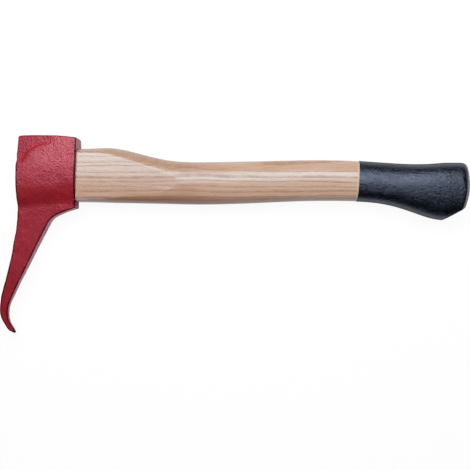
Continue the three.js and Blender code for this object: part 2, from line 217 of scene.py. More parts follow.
# %% Stations of the head: outer x, outer y, inner x, inner y, half thickness outside and inside
HEAD_ROWS = [
    (-23.7, 34.4, 26.8, 32.6, 13.5, 13.8),
    (-24.1, 32.7, 26.8, 30.9, 13.6, 13.8),
    (-25.0, 23.9, 26.7, 26.9, 14.1, 14.8),
    (-25.75, 15.6, 26.5, 18.2, 14.5, 15.1),
    (-26.0, 6.6, 26.3, 11.2, 15.6, 15.5),
    (-25.95, -6.1, 25.8, -3.1, 15.5, 15.5),
    (-25.85, -12.2, 25.9, -7.9, 15.2, 15.2),
    (-25.7, -17.2, 25.8, -13.2, 13.9, 13.9),
    (-25.5, -21.2, 25.7, -17.2, 12.3, 12.3),
    (-25.5, -24.1, 25.6, -20.2, 10.5, 10.5),
    (-25.4, -26.4, 25.6, -22.6, 9.2, 9.2),
    (-25.4, -29.2, 25.5, -25.8, 8.7, 8.7),
    (-25.4, -32.1, 25.5, -29.1, 8.8, 8.8),
    (-25.5, -34.6, 19.5, -30.9, 8.65, 8.65),
    (-25.7, -37.3, 13.9, -32.8, 8.5, 8.5),
    (-26.0, -40.0, 8.1, -35.5, 8.4, 8.4),
    (-26.4, -42.6, 3.9, -38.2, 8.3, 8.3),
    (-26.7, -44.6, 1.3, -41.4, 8.2, 8.2),
    (-27.5, -50.3, -2.1, -48.7, 7.95, 7.95),
    (-29.0, -57.1, -7.5, -58.5, 7.7, 7.7),
    (-31.7, -72.8, -15.5, -75.5, 7.1, 7.1),
    (-35.3, -86.7, -22.8, -89.4, 6.5, 6.5),
    (-38.8, -99.3, -28.7, -101.9, 5.7, 5.7),
    (-41.2, -107.6, -32.3, -109.5, 5.05, 5.05),
    (-42.0, -114.0, -34.6, -115.3, 4.7, 4.7),
    (-42.8, -119.2, -35.1, -119.9, 3.9, 3.9),
    (-42.1, -123.8, -35.4, -123.2, 3.5, 3.5),
    (-40.2, -128.3, -34.8, -127.3, 2.9, 2.9),
    (-37.9, -133.0, -33.2, -131.3, 2.2, 2.2),
    (-35.2, -137.4, -30.4, -134.7, 1.45, 1.45),
    (-30.3, -139.6, -28.4, -138.7, 0.8, 0.8),
]
POLL_ROWS = HEAD_ROWS[:2]
POLL_CROWN = 1.7  # the top of the poll is arched: its middle is pulled up by this much


def rails(row):
    outer = (row[0], row[1], row[4])
    inner = (row[2], row[3], row[5])
    middle = [(a + b) / 2 for a, b in zip(outer, inner)]
    if row in POLL_ROWS:
        middle[1] += POLL_CROWN
    return [outer, middle, inner]


print("head:", len(HEAD_ROWS), "stations")

# %% The plate at the top of the poll
# It starts 1 m wide, so that its outer edge, middle and inner edge are far apart when they are picked
object_mode()
bpy.ops.mesh.primitive_plane_add(size=1, location=mm(0, 0, 0), rotation=(-math.pi / 2, 0, 0))
head = named("forged_head")
bpy.ops.object.transform_apply()
edit_all(head)
bpy.ops.mesh.bisect(plane_co=(0, 0, 0), plane_no=(1, 0, 0))
for side, (x, y, half) in zip((-0.5, 0, 0.5), rails(HEAD_ROWS[0])):
    select_points(head, lambda p: abs(p.x * MM - side) < 0.01)
    bpy.ops.transform.resize(value=(1, 1, 2 * half * MM), center_override=(0, 0, 0))
    bpy.ops.transform.translate(value=mm(x, y) - Vector((side, 0, 0)))
print("plate:", len(bmesh.from_edit_mesh(head.data).verts), "points")


# %% Draw the plate out through the stations
def near_rails(row):
    tests = [near(x, y) for x, y, half in rails(row)]
    return lambda p: any(test(p) for test in tests)


for row, next_row in zip(HEAD_ROWS, HEAD_ROWS[1:]):
    select_points(head, near_rails(row))
    step = mm(next_row[0], next_row[1]) - mm(row[0], row[1])
    bpy.ops.mesh.extrude_region_move(TRANSFORM_OT_translate={"value": step})
    for (x, y, half), (new_x, new_y, new_half) in zip(rails(row)[::-1], rails(next_row)[::-1]):
        here = mm(x, y) + step
        select_points(head, near(here.x / MM, here.y / MM))
        bpy.ops.transform.resize(value=(1, 1, new_half / half), center_override=mm(0, 0))
        bpy.ops.transform.translate(value=mm(new_x, new_y) - here)
edit_all(head)
bpy.ops.mesh.normals_make_consistent(inside=False)
print("drawn out:", len(head.data.polygons), "faces")

# %% [markdown]
# ## Rounding the head's long faces
# The stations are joined by flat strips, but a forging has no flats along its pick. A Subdivision Surface
# modifier turns the strips into smooth curves, and edges creased first stay sharp under it. The sharp edges are
# the long ones beside the cheeks and the rims of the two ends: they are picked by the angle between their faces.
# Last, the outer top corner of the poll gets its rounding with a bevel.

# %% Crease the sharp edges and subdivide
HEAD_SHARP_ABOVE = 38  # the angle between two faces, in degrees
POLL_CORNER_ROUND = 2.4
round_faces(head, HEAD_SHARP_ABOVE, levels=4)
edit(head)
corner = select_points(head, near(*HEAD_ROWS[0][:2]))
bpy.ops.mesh.bevel(offset=POLL_CORNER_ROUND * MM, segments=5, affect="EDGES")
object_mode()
print("smoothed head:", len(head.data.polygons), "faces; points on the rounded corner:", corner)

# %% [markdown]
# ## The eye
# The eye is the hole that holds the handle: an oval with flattened sides, a little wider at the outer face, so
# that a wedged handle can't pull out. A punch, called a drift, makes it at the forge. Here the punch is a cone
# squeezed to the oval, with its two sides sliced off, and a Boolean modifier takes it out of the head.

# %% The drift that makes the eye
EYE_HEIGHT = 45.6
EYE_WIDTH = 21.0
EYE_ROUND = 1.14  # the oval's width before its sides are sliced, to the eye's width
EYE_FLARE = 0.0154  # what the eye gains on each side for each mm towards the outer face
INNER_FACE = 26.0  # the eye has its own height at the face on the handle's side
DRIFT_FROM, DRIFT_TO = -36.0, 36.0
FULL_TURN = 96


def eye_tool(shrink, start, end, name):
    half = EYE_HEIGHT / 2 - shrink
    flare = EYE_FLARE * INNER_FACE
    object_mode()
    bpy.ops.mesh.primitive_cone_add(
        vertices=FULL_TURN,
        radius1=(half + flare - EYE_FLARE * start) * MM,
        radius2=(half + flare - EYE_FLARE * end) * MM,
        depth=(end - start) * MM,
        location=mm((start + end) / 2, 0),
        rotation=(0, math.pi / 2, 0),
    )
    tool = named(name)
    squeeze = (EYE_WIDTH / 2 - shrink) / half
    bpy.ops.object.transform_apply()
    edit_all(tool)
    bpy.ops.transform.resize(value=(1, 1, squeeze * EYE_ROUND), center_override=mm(0, 0))
    flat = (half + flare) * squeeze
    for way in (-1, 1):
        slice_off(tool, mm(0, 0, MIDDLE + way * flat), (EYE_FLARE * squeeze, 0, way))
    return tool


drift = eye_tool(0, DRIFT_FROM, DRIFT_TO, "drift")
cut_with(head, drift)
throw_away(drift)
print("head with its eye:", len(head.data.polygons), "faces")

# %% [markdown]
# ## Forged edges and hammer marks
# Steel that has been struck hot has no sharp edge anywhere. A voxel remesh gives the head an even skin of small
# squares, and smoothing that skin melts its edges, less at the fine point of the pick.
# The smith has also hammered back the outer top corner of each cheek, round the eye. A vertex group says how far
# each point is pushed in, from nothing inside an oval to all of it outside, and a Displace modifier pushes them.
# Two more make the broad unevenness that the hammer leaves, and the small wobble along the edges.

# %% An even skin with melted edges
HEAD_SKIN_SIZE = 0.62
FINE_POINT = -126.0  # below this the pick is too fine to be smoothed as much as the rest
even_skin(head, HEAD_SKIN_SIZE)
solid_part = weigh_points(head, "away_from_the_point", lambda p, facing: float(p.y > FINE_POINT))
soften(head, 7, solid_part)
soften(head, 1)
print("skin:", len(head.data.polygons), "faces")

# %% The outer top corner of each cheek, hammered back
RELIEF_RUN, RELIEF_RISE = 24.0, 23.5
RELIEF_MIDDLE = (2.0, 4.0)
RELIEF_FROM, RELIEF_TO = 0.86, 1.1  # the slope's two ends, as shares of the oval
RELIEF_DEPTH = 1.1


def outside_relief(p, facing):
    across = min(p.x - RELIEF_MIDDLE[0], 0) / RELIEF_RUN
    up = max(p.y - RELIEF_MIDDLE[1], 0) / RELIEF_RISE
    in_corner = ramp(p.y, 7, 15) * ramp(p.x, 10, -3)
    on_cheek = ramp(abs(p.z - MIDDLE), 10, 13)
    return ramp(math.hypot(across, up), RELIEF_FROM, RELIEF_TO) * in_corner * on_cheek


push(head, weigh_points(head, "hammered_back", outside_relief), -RELIEF_DEPTH)

# %% Hammer marks
HAMMERED = [
    # name, size of the marks in mm, depth in mm
    ("broad_marks", 11.0, 0.5),
    ("small_marks", 3.2, 0.16),
]
for name, size, depth in HAMMERED:
    pattern = bpy.data.textures.new(name, "CLOUDS")
    pattern.noise_scale = size * MM
    pattern.noise_depth = 1
    modify(head, "DISPLACE", texture=pattern, texture_coords="LOCAL", strength=depth * MM, mid_level=0.62)
finish_piece(head, "head", smooth_below=180)

# %% [markdown]
# ## The handle's blank
# A handle is turned to an oval blank first, and then its two sides are planed flat near the head. The model takes
# the same two steps. A disc is laid at the head's end and extruded along the handle, and at each station it is
# resized to the height and width that the blank has there. The foot is fuller above its middle, so a Displace
# modifier pushes its sides up there. The same blank, made a little larger, is the outside of the dipped grip, so a
# function makes it once for both.

# %% Stations of the oval blank: x, rise above the eye's middle, drop below it, half width
BLANK_ROWS = [
    (20.0, 23.5, 23.5, 19.6),
    (34.5, 23.5, 23.6, 19.6),
    (46.0, 24.2, 23.7, 18.3),
    (58.0, 24.4, 24.2, 16.0),
    (70.0, 22.1, 24.4, 14.6),
    (82.0, 18.9, 24.6, 13.8),
    (94.0, 15.7, 24.9, 13.3),
    (106.0, 13.2, 25.1, 12.0),
    (118.0, 12.0, 25.5, 10.95),
    (129.5, 11.7, 25.7, 11.05),
    (144.0, 11.8, 25.7, 11.25),
    (164.0, 12.2, 25.2, 11.5),
    (190.0, 12.7, 24.2, 11.9),
    (215.0, 13.3, 22.9, 12.3),
    (240.5, 13.6, 22.3, 12.5),
    (263.0, 13.4, 22.5, 12.5),
    (280.0, 12.2, 22.8, 12.5),
    (296.5, 11.1, 24.7, 12.6),
    (310.0, 10.1, 27.9, 13.3),
    (324.0, 9.6, 32.7, 14.2),
    (338.5, 9.9, 38.0, 14.9),
    (350.0, 11.1, 39.5, 15.1),
    (361.5, 11.4, 39.1, 15.0),
    (376.0, 11.2, 39.2, 15.1),
    (390.0, 11.2, 39.2, 15.1),
]
BLANK_POINTS = 24
WITHIN = 50.0  # the first circle has a radius of 1 m, so a point this near to a corner, in mm, is that corner
# A subdivided circle is smaller than the polygon that it is made from, by this much
ROUND_LOSS = (2 + math.cos(2 * math.pi / BLANK_POINTS)) / 3
# The oval is fuller at its two lower corners: angle below the middle, and how much further out the point lies
FULL_CORNERS = [(30, 1.05), (45, 1.09), (60, 1.07), (75, 1.02)]
FOOT_SHIFT = 6.0  # the foot is widest this much above the middle of its height
FOOT_STARTS, FOOT_FULL = 295, 350
RIM_SHARP_ABOVE = 60  # an edge that turns by more than this, in degrees, is a rim


def blank_at(x):
    pairs = zip(BLANK_ROWS, BLANK_ROWS[1:])
    low, high = next((pair for pair in pairs if x <= pair[1][0]), BLANK_ROWS[-2:])
    part = min(max((x - low[0]) / (high[0] - low[0]), 0), 1)
    return [a + (b - a) * part for a, b in zip(low, high)]


def off_the_rims(p, facing):
    x, rise, drop, half = blank_at(p.x)
    share = (2 * p.y - rise + drop) / (rise + drop)
    return ramp(x, FOOT_STARTS, FOOT_FULL) * max(1 - share ** 2, 0)


def turn_blank(name, grow, rows):
    sizes = []
    for x, rise, drop, half in rows:
        height = ((rise + drop) / 2 + grow) / ROUND_LOSS
        sizes.append((mm(x, (rise - drop) / 2), height * MM, (half + grow) / ROUND_LOSS * MM))
    centre, height, half = sizes[0]
    object_mode()
    bpy.ops.mesh.primitive_circle_add(
        vertices=BLANK_POINTS, radius=1, fill_type="NGON", location=centre, rotation=(0, math.pi / 2, 0)
    )
    blank = named(name)
    bpy.ops.object.transform_apply()
    edit(blank)
    for angle, fuller in FULL_CORNERS:
        turn = math.radians(angle)
        corner = Vector((centre.y / MM - math.sin(turn) / MM, math.cos(turn) / MM))
        select_points(blank, lambda p: (Vector((p.y, abs(p.z - MIDDLE))) - corner).length < WITHIN)
        bpy.ops.transform.resize(value=(1, fuller, fuller), center_override=centre)
    bpy.ops.mesh.select_all(action="SELECT")
    bpy.ops.transform.resize(value=(1, height, half), center_override=centre)
    for new_centre, new_height, new_half in sizes[1:]:
        growth = (1, new_height / height, new_half / half)
        bpy.ops.mesh.extrude_region_move(TRANSFORM_OT_translate={"value": new_centre - centre})
        bpy.ops.transform.resize(value=growth, center_override=new_centre)
        centre, height, half = new_centre, new_height, new_half
    bpy.ops.mesh.select_all(action="SELECT")
    bpy.ops.mesh.normals_make_consistent(inside=False)
    round_faces(blank, RIM_SHARP_ABOVE, levels=3)
    push(blank, weigh_points(blank, "foot_sides", off_the_rims), FOOT_SHIFT, "Y")
    return blank


handle = turn_blank("hickory_handle", 0, BLANK_ROWS)
print("blank:", len(handle.data.polygons), "faces")

# %% [markdown]
# ## The foot
# The end of the foot is a shallow dome, and its lower corner is cut away at a slant, so that it doesn't split
# when it is knocked on the ground. For the dome, the blank is kept only where it lies inside a long bar with a
# round end, and the bar is a ball with one half of it drawn out. A single slice makes the slanted cut.

# %% Dome the foot and cut its heel
REACH = 373.1  # middle of the eye to the end of the wood, before its room for the skin
BAR_LENGTH = REACH + 60
DOME_TOP = REACH - 0.7  # the ground end of the foot lies this far along, and has these three half axes
DOME_HALVES = (40.0, 47.7, 29.7)
DOME_LEVEL = -7.5
HEEL_RUN, HEEL_HEIGHT, FOOT_DROP = 24.7, 13.6, 39.2


def shape_foot(piece, grow):
    object_mode()
    middle = mm(DOME_TOP - DOME_HALVES[0], DOME_LEVEL)
    bpy.ops.mesh.primitive_uv_sphere_add(
        segments=128, ring_count=96, radius=1, location=middle, rotation=(0, math.pi / 2, 0)
    )
    bar = named("domed_bar")
    bpy.ops.object.transform_apply()
    edit_all(bar)
    bpy.ops.transform.resize(value=[(half + grow) * MM for half in DOME_HALVES], center_override=middle)
    select_points(bar, lambda p: p.x < middle.x / MM - CLOSE)
    bpy.ops.transform.translate(value=(-BAR_LENGTH * MM, 0, 0))
    cut_with(piece, bar, "INTERSECT")
    throw_away(bar)
    out = Vector((1, -HEEL_RUN / HEEL_HEIGHT, 0)).normalized()
    slice_off(piece, mm(REACH - HEEL_RUN, -FOOT_DROP) + out * grow * MM, out)


# %% [markdown]
# ## The part of the handle under the dip
# The wood under the black skin is the same shape, 1.25 mm smaller all round, so that the skin has its thickness
# and stands a little proud of the bare wood. The handle's points there are moved in along their own normals.

# %% Make room for the skin
COAT_LENGTH = 99.3
COAT_SLOPE = 0.067  # how far the dip line leans, to its height
DIP_GAP = 0.3
STEP = 0.25  # the wood steps down to its smaller size between two cuts, this far before and after the dip line
coat_edge = REACH - COAT_LENGTH + DIP_GAP
dip_facing = Vector((-1, COAT_SLOPE, 0)).normalized()
REBATE = 1.25


def past_dip_line(p):
    return p.x > coat_edge + COAT_SLOPE * p.y


for gap in (-STEP, STEP):
    edit_all(handle)
    bpy.ops.mesh.bisect(plane_co=mm(coat_edge + gap, 0), plane_no=dip_facing)
select_points(handle, past_dip_line)
bpy.ops.transform.shrink_fatten(value=-REBATE * MM)
shape_foot(handle, -REBATE)
print("handle with its foot:", len(handle.data.polygons), "faces")

# %% [markdown]
# ## Planed sides, shoulder and tenon
# Near the head, the two sides are planed flat: a slice through the faces there, parallel to the cheeks, does it,
# and the flats run out by themselves where the blank gets thinner. Sanding then softens every edge and leaves the
# flats a little crowned: a voxel remesh, a smoothing, and a Displace modifier that is strongest at their edges.
# A real tenon is filed until it fits the eye. Here it is made with the very tool that made the eye, a little
# smaller, its end is arched by a long roller, and it is joined to the square shoulder.

# %% Plane the two sides
FLAT_HALF = 11.2
FLAT_END = 122.0
for way in (-1, 1):
    edit(handle, "FACE")
    shape = bmesh.from_edit_mesh(handle.data)
    for face in shape.faces:
        face.select = face.calc_center_median().x / MM < FLAT_END
    shape.select_flush_mode()
    bmesh.update_edit_mesh(handle.data)
    bpy.ops.mesh.bisect(
        plane_co=mm(0, 0, MIDDLE + way * FLAT_HALF), plane_no=(0, 0, way), clear_outer=True, use_fill=True
    )
print("planed:", len(handle.data.polygons), "faces")

# %% Sand the blank, then cut the shoulder
HANDLE_SKIN_SIZE = 0.75
FACE_SLOPE = 0.025  # the face that the shoulder meets leans this much, to its height
SHOULDER = 26.1
FLAT_CROWN = 0.7  # a planed side is never quite flat: its edges lie this much lower than its middle
FLAT_HEIGHT = 39.0


def off_the_middle(p, facing):
    return min((2 * p.y / FLAT_HEIGHT) ** 2, 1) * ramp(abs(facing.z), 0.5, 0.95) * ramp(p.x, FLAT_END, 80)


even_skin(handle, HANDLE_SKIN_SIZE)
soften(handle, 3)
push(handle, weigh_points(handle, "planed_sides", off_the_middle), -FLAT_CROWN)
slice_off(handle, mm(SHOULDER, 0), Vector((-1, FACE_SLOPE, 0)).normalized())
print("sanded:", len(handle.data.polygons), "faces")

# %% Make the tenon with the eye's own tool
FIT = 0.3
TENON_END = -25.6
TENON_ROOT = 14.0  # how far the tenon runs on into the handle, so that the two are joined
SPARE = 3.0  # what is cut away again when the tenon's end is arched
CROWN_RADIUS, CROWN_LEVEL, CROWN_WIDTH = 204.0, -3.0, 80.0
tenon = eye_tool(FIT, TENON_END - SPARE, SHOULDER + TENON_ROOT, "tenon")
bpy.ops.mesh.primitive_cylinder_add(
    vertices=1024,
    radius=CROWN_RADIUS * MM,
    depth=CROWN_WIDTH * MM,
    location=mm(TENON_END + CROWN_RADIUS, CROWN_LEVEL),
)
crown = named("crown")
bpy.ops.object.transform_apply()
cut_with(tenon, crown, "INTERSECT")
throw_away(crown)
cut_with(handle, tenon, "UNION")
print("with its tenon:", len(handle.data.polygons), "faces")

# %% [markdown]
# ## The two wedges
# The tenon is sawn along the eye's long axis, and a tapered hardwood wedge is driven into that kerf. Then a steel
# ring, sharp at its far edge, is driven in across both, and spreads the wood the other way. The wooden wedge
# starts as a cube whose far end is squeezed to the kerf's bottom. The ring is a four-sided profile spun round the
# handle's axis. Grown copies of both take their places out of the wood.

# %% The kerf and its wedge
KERF_DEPTH, KERF_MOUTH, KERF_BOTTOM = 35.0, 5.0, 1.4
KERF_SLOPE = (KERF_MOUTH - KERF_BOTTOM) / KERF_DEPTH
KERF_START = TENON_END - 2 * SPARE  # outside the tenon's end, so that both come out flush with it
WEDGE_SHORT = 1.5  # the wedge stops this far before the kerf's bottom
TALLER_THAN_EYE = 60.0


def wedge_blank(name, start, end, less):
    object_mode()
    bpy.ops.mesh.primitive_cube_add(size=1, location=mm((start + end) / 2, 0))
    blank = named(name)
    thick = [KERF_MOUTH - KERF_SLOPE * (x - TENON_END) - 2 * less for x in (start, end)]
    bpy.ops.transform.resize(value=((end - start) * MM, TALLER_THAN_EYE * MM, thick[0] * MM))
    bpy.ops.object.transform_apply()
    edit(blank)
    select_points(blank, lambda p: p.x > (start + end) / 2)
    bpy.ops.transform.resize(value=(1, 1, thick[1] / thick[0]), center_override=mm(end, 0))
    return blank


kerf = wedge_blank("kerf", KERF_START, TENON_END + KERF_DEPTH, 0)
cut_with(handle, kerf)
wedge = wedge_blank("hardwood_wedge", KERF_START, TENON_END + KERF_DEPTH - WEDGE_SHORT, FIT)
cut_with(wedge, tenon, "INTERSECT")
throw_away(kerf, tenon)
print("wedge:", len(wedge.data.polygons), "faces")

# %% The steel ring
RING_SUNK, RING_LENGTH = 0.2, 11.0
RING_FROM = TENON_END + RING_SUNK
RING_TO = RING_FROM + RING_LENGTH
RING_CORNERS = [
    # which corner it is, along and outwards, then its x and its distance from the handle's axis
    (-1, 1, RING_FROM, 8.0),
    (1, 1, RING_TO, 7.1),
    (1, -1, RING_TO, 6.4),
    (-1, -1, RING_FROM, 5.6),
]
GROOVE_OPEN = 12.0  # a grown copy passes the tenon's end by this many times its growth


def spin_ring(name, grow):
    object_mode()
    bpy.ops.mesh.primitive_plane_add(size=2 * MM, location=mm(0, 0))
    ring = named(name)
    bpy.ops.object.transform_apply()
    edit(ring)
    for along, out, x, radius in RING_CORNERS:
        new_x = x + (grow if along > 0 else -GROOVE_OPEN * grow)
        select_points(ring, near(along, out))
        bpy.ops.transform.translate(value=mm(new_x - along, radius + out * grow - out, 0))
    bpy.ops.mesh.select_all(action="SELECT")
    bpy.ops.mesh.delete(type="ONLY_FACE")
    bpy.ops.mesh.select_all(action="SELECT")
    bpy.ops.mesh.spin(steps=64, angle=2 * math.pi, center=mm(0, 0), axis=(1, 0, 0))
    bpy.ops.mesh.select_all(action="SELECT")
    bpy.ops.mesh.remove_doubles(threshold=CLOSE / 2 * MM)
    bpy.ops.mesh.normals_make_consistent(inside=False)
    object_mode()
    return ring


groove = spin_ring("groove", FIT)
cut_with(handle, groove)
cut_with(wedge, groove)
throw_away(groove)
ring = spin_ring("steel_ring", 0)
bevel_edges(ring, 0.25, 40)
bevel_edges(wedge, 0.2, 50)
finish_piece(ring, "ring_wedge")
finish_piece(wedge, "wooden_wedge")
finish_piece(handle, "handle")

# %% [markdown]
# ## The dipped grip
# The lower end of the handle is dipped into liquid plastic, which leaves a thin skin with soft edges. The skin
# starts as the same blank and foot, a little proud of the wood. A voxel remesh joins dome, heel and sides in one
# net, and smoothing it rounds the rims, as the liquid does when it draws itself smooth. Then the skin is cut open
# at the dip line, and a Solidify modifier gives it its thickness inwards.

# %% Pour the skin
PROUD = 0.35
SKIN_THICKNESS = 0.9
GRIP_SKIN_SIZE = 0.8
GRIP_BLANK_FROM = 230.0
RIM_FROM, RIM_LEAN = 350.0, 0.25  # where the foot's rim starts at middle height, and how much that leans


def on_rim(p, facing):
    return float(p.x > RIM_FROM - RIM_LEAN * p.y)


def on_upper_end(p, facing):
    return ramp(p.x, 350, 360) * ramp(p.y, -14, -2)


grip = turn_blank("dipped_grip", PROUD, [row for row in BLANK_ROWS if row[0] > GRIP_BLANK_FROM])
shape_foot(grip, PROUD)
even_skin(grip, GRIP_SKIN_SIZE)
soften(grip, 8, weigh_points(grip, "foot_rim", on_rim))
soften(grip, 120, weigh_points(grip, "foot_top", on_upper_end))
soften(grip, 4)
print("poured:", len(grip.data.polygons), "faces")

# %% Open it at the dip line and give it its thickness
slice_off(grip, mm(coat_edge, 0), dip_facing, fill=False)
modify(grip, "SOLIDIFY", thickness=SKIN_THICKNESS * MM, offset=-1, use_even_offset=True)
edit_sharp(grip, RIM_SHARP_ABOVE)
bpy.ops.mesh.bevel(offset=SKIN_THICKNESS / 3 * MM, segments=3, affect="EDGES", clamp_overlap=True)
finish_piece(grip, "grip_coating", smooth_below=60)

# %% [markdown]
# ## Materials: how the nodes are put together
# Every finish is a small network of nodes. Helpers keep the cells short: `add` puts in a node, `feed` sets or
# connects its inputs, `maths` does one sum, `between` makes a soft mask of a value, `where` makes one of places on
# the piece, and `blend` and `cover` lay one colour over another by a mask. All patterns are worked out from Object
# coordinates, which are the place inside the piece, so they go right through it like real grain, and need no
# unwrapping. The coordinates are in metres, so `in_mm` first turns them into millimetres.

# %% Node helpers
def feed(node, inputs):
    for name, value in inputs.items():
        if isinstance(value, bpy.types.NodeSocket):
            node.id_data.links.new(value, node.inputs[name])
        else:
            node.inputs[name].default_value = value


def add(tree, kind, inputs=None, **settings):
    made = tree.nodes.new(kind)
    made.location = (220 * (len(tree.nodes) % 9), -240 * (len(tree.nodes) // 9))
    for name, value in settings.items():
        setattr(made, name, value)
    feed(made, inputs or {})
    return made


def maths(tree, what, *values):
    return add(tree, "ShaderNodeMath", dict(enumerate(values)), operation=what).outputs[0]


def times(tree, first, second):
    return maths(tree, "MULTIPLY", first, second)


def times_plus(tree, value, factor, extra):
    return maths(tree, "MULTIPLY_ADD", value, factor, extra)


def distance(tree, first, second):
    squares = [maths(tree, "POWER", value, 2.0) for value in (first, second)]
    return maths(tree, "SQRT", maths(tree, "ADD", *squares))


def between(tree, value, low, high, from_value=0.0, to_value=1.0):
    inputs = {"Value": value, "From Min": low, "From Max": high, "To Min": from_value, "To Max": to_value}
    return add(tree, "ShaderNodeMapRange", inputs, interpolation_type="SMOOTHSTEP").outputs[0]


def where(tree, place, *limits):
    masks = [between(tree, place[axis], nothing, full) for axis, nothing, full in limits]
    return functools.reduce(functools.partial(times, tree), masks)


def blend(tree, mask, first, second, how="MIX"):
    inputs = {0: mask, 6: (*first, 1) if isinstance(first, tuple) else first, 7: (*second, 1)}
    return add(tree, "ShaderNodeMix", inputs, data_type="RGBA", blend_type=how).outputs[2]


def cover(tree, colour, mask, share, new_colour, how="MIX"):
    return blend(tree, times(tree, mask, share), colour, new_colour, how)


# %% Places, directions, groups and finishes
def in_mm(tree, stretch=(1, 1, 1), move=(0, 0, 0)):
    place = add(tree, "ShaderNodeTexCoord").outputs["Object"]
    inputs = {"Vector": place, "Scale": [1 / MM * s for s in stretch], "Location": move}
    return add(tree, "ShaderNodeMapping", inputs).outputs[0]


def place_in_mm(tree, move=(0, 0, 0)):
    return add(tree, "ShaderNodeSeparateXYZ", {0: in_mm(tree, move=move)}).outputs


def faces_along(tree, axis):
    normal = add(tree, "ShaderNodeTexCoord").outputs["Normal"]
    return maths(tree, "ABSOLUTE", add(tree, "ShaderNodeSeparateXYZ", {0: normal}).outputs[axis])


def new_group(name, inputs, outputs):
    tree = bpy.data.node_groups.new(name, "ShaderNodeTree")
    for socket, value in inputs.items():
        tree.interface.new_socket(socket, in_out="INPUT", socket_type="NodeSocketFloat").default_value = value
    for socket in outputs:
        tree.interface.new_socket(socket, in_out="OUTPUT", socket_type="NodeSocketFloat")
    return tree, tree.nodes.new("NodeGroupInput").outputs, tree.nodes.new("NodeGroupOutput")


def use_group(tree, group, **inputs):
    made = add(tree, "ShaderNodeGroup", node_tree=group)
    feed(made, {name.replace("_", " "): value for name, value in inputs.items()})
    return made.outputs


def new_finish(name, colour):
    material = bpy.data.materials.new(name)
    material.use_nodes = True
    material.diffuse_color = (*colour, 1)
    return material, material.node_tree, material.node_tree.nodes["Principled BSDF"]


def bump_of(tree, height, strength, depth):
    inputs = {"Height": height, "Strength": strength, "Distance": depth * MM}
    return add(tree, "ShaderNodeBump", inputs).outputs[0]


def dress(piece, finish):
    piece.data.materials.clear()
    piece.data.materials.append(finish)
    print(piece.name, "wears", finish.name, "with", len(finish.node_tree.nodes), "nodes")


# %% [markdown]
# ## Shared effects, as node groups
# Some effects belong to more than one finish, so each is built once as a node group with named values.
# *Clouds* is soft unevenness of any size, *pebbles* is the bumpy skin of thick paint or dipped plastic, *edges and
# hollows* finds edges and hollows from how pointed the surface is: it gives lighter worn edges on the steel ring
# and the grip, and painted dark rims and painted shade in the hollows on the red paint. *Fibres* are fine lines
# along the handle.

# %% Clouds and pebbles
clouds, given, result = new_group("clouds", {"Size": 5.0, "Detail": 2.0, "Least": 0.0, "Most": 1.0}, ["Value"])
scale = maths(clouds, "DIVIDE", 1.0, given["Size"])
noise = add(clouds, "ShaderNodeTexNoise", {"Vector": in_mm(clouds), "Scale": scale, "Detail": given["Detail"]})
feed(result, {"Value": between(clouds, noise.outputs[0], 0.3, 0.7, given["Least"], given["Most"])})

pebbles, given, result = new_group("pebbles", {"Size": 1.0, "Wander": 0.6, "Drawn out": 1.0}, ["Height"])
scale = maths(pebbles, "DIVIDE", 1.0, given["Size"])
place = place_in_mm(pebbles)
along = maths(pebbles, "DIVIDE", place["X"], given["Drawn out"])
place = add(pebbles, "ShaderNodeCombineXYZ", {"X": along, "Y": place["Y"], "Z": place["Z"]}).outputs[0]
wander = add(pebbles, "ShaderNodeTexNoise", {"Vector": place, "Scale": scale, "Detail": 3.0}).outputs[0]
cells_in = {"Vector": place, "Scale": scale, "Smoothness": 0.7}
cells = add(pebbles, "ShaderNodeTexVoronoi", cells_in, feature="SMOOTH_F1").outputs["Distance"]
feed(result, {"Height": times_plus(pebbles, wander, given["Wander"], cells)})

# %% Edges and hollows, and fibres
EVEN = 0.5  # how pointed a flat surface is: an edge has more, and a hollow has less
JUST = 0.005  # what a surface may differ from that before it counts as either
edges, given, result = new_group("edges_and_hollows", {"Width": 0.06, "Ragged": 0.5, "Size": 2.0}, ["Edge", "Hollow"])
pointed = add(edges, "ShaderNodeNewGeometry").outputs["Pointiness"]
scale = maths(edges, "DIVIDE", 1.0, given["Size"])
noise = add(edges, "ShaderNodeTexNoise", {"Vector": in_mm(edges), "Scale": scale, "Detail": 4.0}).outputs[0]
shaken = times(edges, maths(edges, "SUBTRACT", noise, 0.5), given["Ragged"])
pointed = times_plus(edges, shaken, given["Width"], pointed)
for name, way, change in (("Edge", 1, "ADD"), ("Hollow", -1, "SUBTRACT")):
    full = maths(edges, change, EVEN, given["Width"])
    feed(result, {name: between(edges, pointed, EVEN + way * JUST, full)})

FIBRES = [
    # name, how fine along the handle and across it, detail, and the two noise values that a mask lies between
    ("Streaks", 0.03, 1.6, 3.0, 0.3, 0.7),
    ("Pores", 0.28, 4.5, 1.0, 0.6, 0.72),
]
fibres, given, result = new_group("fibres", {"Fineness": 1.0}, [row[0] for row in FIBRES])
for name, along, across, detail, low, high in FIBRES:
    drawn_out = in_mm(fibres, (along, across, across))
    inputs = {"Vector": drawn_out, "Scale": given["Fineness"], "Detail": detail}
    noise = add(fibres, "ShaderNodeTexNoise", inputs).outputs[0]
    feed(result, {name: between(fibres, noise, low, high)})
print("groups:", [g.name for g in bpy.data.node_groups])
